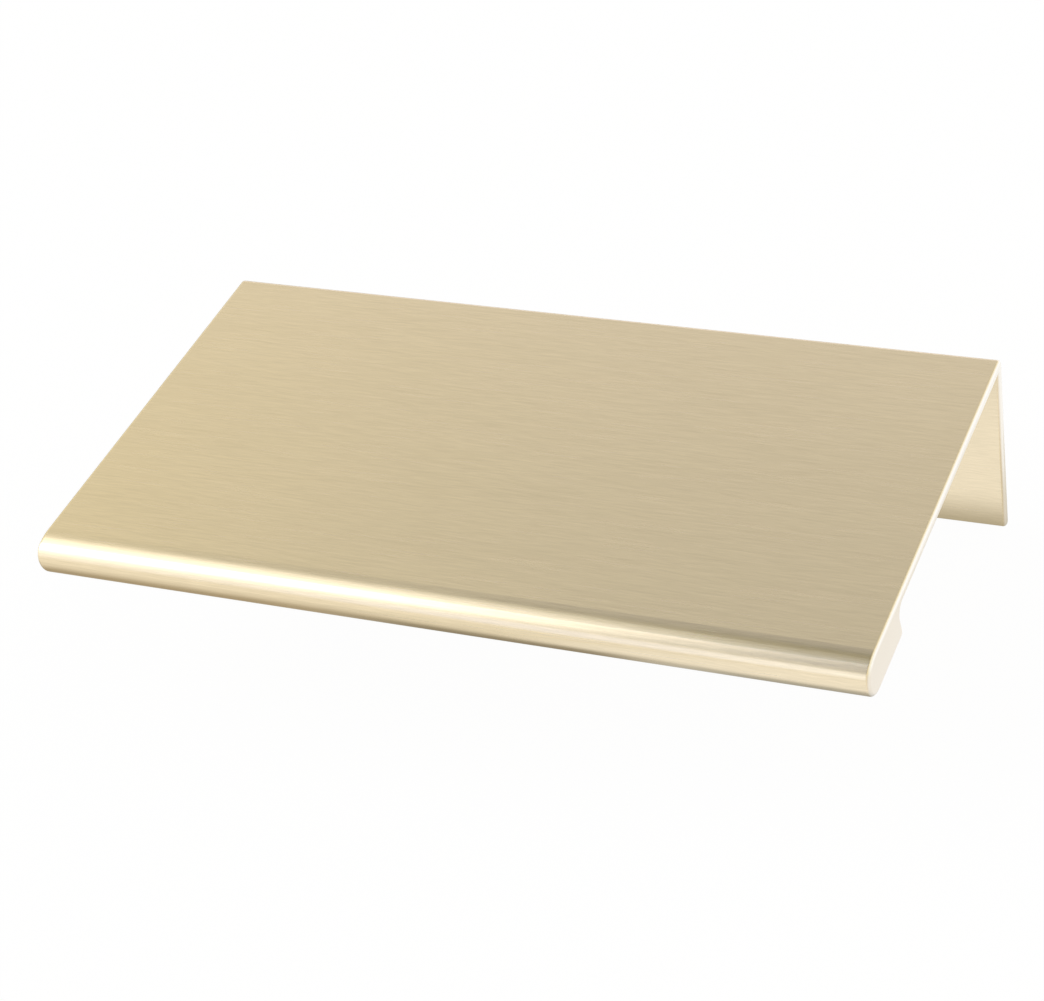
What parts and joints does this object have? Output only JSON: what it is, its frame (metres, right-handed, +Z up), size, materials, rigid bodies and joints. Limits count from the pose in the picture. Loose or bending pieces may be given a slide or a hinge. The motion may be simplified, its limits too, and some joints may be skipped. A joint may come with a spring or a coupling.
{
  "type": "tab pull",
  "caption": "One-piece L-section tab pull for a cabinet door or drawer front, with a flat plate, a rounded finger nose in front and a rear leg with countersunk screw holes.",
  "frame": {"origin": "middle of the screw pattern, on the inner face of the leg, which lies against the back of the door", "axes": "+X along the length and the door's edge; -Y from the leg through the door to the nose and the user; +Z up, out of the door's top edge"},
  "size_m": [0.073, 0.0411, 0.0178],
  "materials": {
    "brushed_champagne": "satin, brushed along the length, anodised pale champagne gold"
  },
  "bodies": {
    "root": {"tab_pull": "brushed_champagne"}
  },
  "joints": []
}
